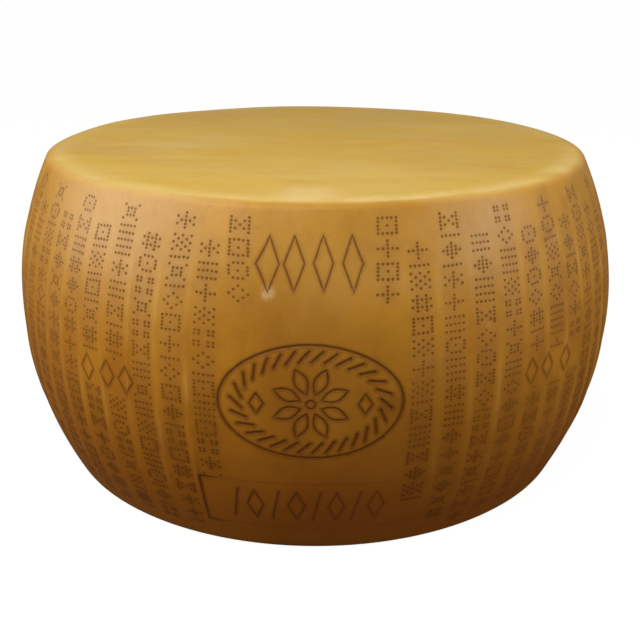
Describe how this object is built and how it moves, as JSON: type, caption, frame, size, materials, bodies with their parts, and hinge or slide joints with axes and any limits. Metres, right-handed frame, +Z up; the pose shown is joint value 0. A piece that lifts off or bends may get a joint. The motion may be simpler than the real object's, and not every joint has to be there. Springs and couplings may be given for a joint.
{
  "type": "parmesan cheese wheel",
  "caption": "Whole drum-shaped wheel of aged hard cheese with a bulging amber rind, dotted strips, pressed ornaments and two flat faces.",
  "frame": {"origin": "centre of the flat face that the wheel rests on", "axes": "+Z up along the wheel's axis of rotation, -Y towards the side with the pressed stamp, +X to the right of the stamp"},
  "size_m": [0.4464, 0.4452, 0.2255],
  "materials": {
    "rind": "waxy semi-gloss cheese rind, golden on the flat face and amber to dark brown down the wall"
  },
  "bodies": {
    "root": {"wheel": "rind"}
  },
  "joints": []
}
